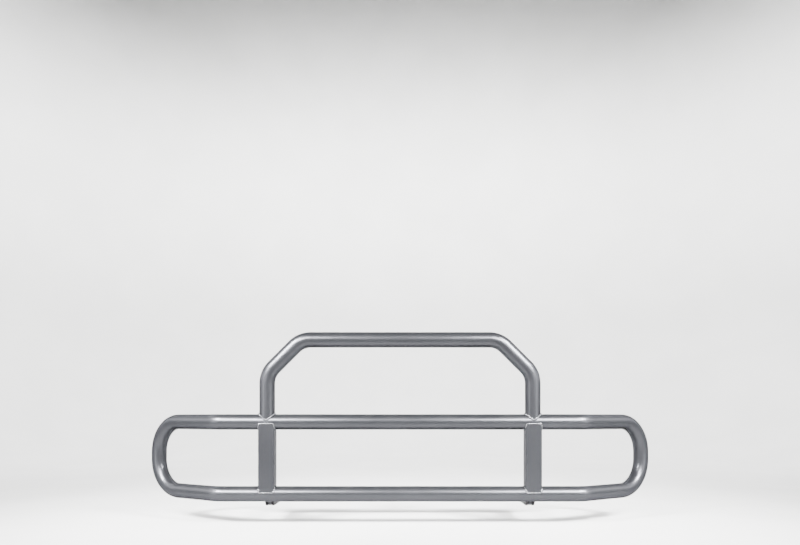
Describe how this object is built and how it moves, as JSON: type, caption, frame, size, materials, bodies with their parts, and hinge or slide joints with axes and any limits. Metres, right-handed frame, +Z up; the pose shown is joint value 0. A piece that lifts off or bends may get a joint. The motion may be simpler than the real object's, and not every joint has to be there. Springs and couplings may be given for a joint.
{
  "type": "front grille guard",
  "caption": "Tubular front grille guard for a highway tractor: wrapped lower loop, upper hoop and square uprights on tilting brackets with spring latches.",
  "frame": {"origin": "middle of the bounding box in X and Y, at the level of the bracket cheeks' lower edges", "axes": "+Z up, the guard's front faces -Y, +X to the right of a person who stands in front and faces the guard; left and right in node names are that person's"},
  "size_m": [2.5046, 0.48, 0.827],
  "materials": {
    "guard_coat": "satin",
    "bracket_coat": "satin",
    "zinc_plate": "satin",
    "bronze": "satin",
    "pad_rubber": "matte",
    "black_plastic": "satin",
    "spring_steel": "satin"
  },
  "bodies": {
    "bracket": {"crossbar": "bracket_coat", "left_inner_cheek": "bracket_coat", "left_outer_cheek": "bracket_coat", "left_floor_plate": "bracket_coat", "left_latch_housing": "bracket_coat", "left_horn_stub": "bracket_coat", "left_mount_flange": "bracket_coat", "right_inner_cheek": "bracket_coat", "right_outer_cheek": "bracket_coat", "right_floor_plate": "bracket_coat", "right_latch_housing": "bracket_coat", "right_horn_stub": "bracket_coat", "right_mount_flange": "bracket_coat", "left_pivot_washer_inner": "zinc_plate", "left_pivot_washer_outer": "zinc_plate", "left_pivot_bolt": "zinc_plate", "left_pivot_nut": "zinc_plate", "left_latch_cap": "zinc_plate", "right_pivot_washer_inner": "zinc_plate", "right_pivot_washer_outer": "zinc_plate", "right_pivot_bolt": "zinc_plate", "right_pivot_nut": "zinc_plate", "right_latch_cap": "zinc_plate", "left_thrust_washer_inner": "bronze", "left_thrust_washer_outer": "bronze", "right_thrust_washer_inner": "bronze", "right_thrust_washer_outer": "bronze", "left_bump_pad": "pad_rubber", "right_bump_pad": "pad_rubber", "left_crossbar_cap": "black_plastic", "right_crossbar_cap": "black_plastic", "left_latch_spring": "spring_steel", "right_latch_spring": "spring_steel"},
    "guard": {"upper_rail": "guard_coat", "lower_rail": "guard_coat", "left_end_loop": "guard_coat", "right_end_loop": "guard_coat", "hoop": "guard_coat", "left_upright": "guard_coat", "right_upright": "guard_coat", "left_swing_plate": "guard_coat", "right_swing_plate": "guard_coat", "left_pivot_bush": "bronze", "right_pivot_bush": "bronze"},
    "left_latch": {"left_latch_pin": "zinc_plate", "left_latch_knob": "black_plastic"},
    "right_latch": {"right_latch_pin": "zinc_plate", "right_latch_knob": "black_plastic"}
  },
  "joints": [
    {"name": "guard_tilt", "type": "hinge", "parent": "bracket", "child": "guard", "pos_m": [0, -0.11945, 0.036], "axis": [1, 0, 0], "range_deg": [0, 80]},
    {"name": "left_latch_slide", "type": "slide", "parent": "bracket", "child": "left_latch", "axis": [-1, 0, 0], "range_m": [0, 0.034], "deforming": ["left_latch_spring"]},
    {"name": "right_latch_slide", "type": "slide", "parent": "bracket", "child": "right_latch", "axis": [1, 0, 0], "range_m": [0, 0.034], "deforming": ["right_latch_spring"]}
  ]
}
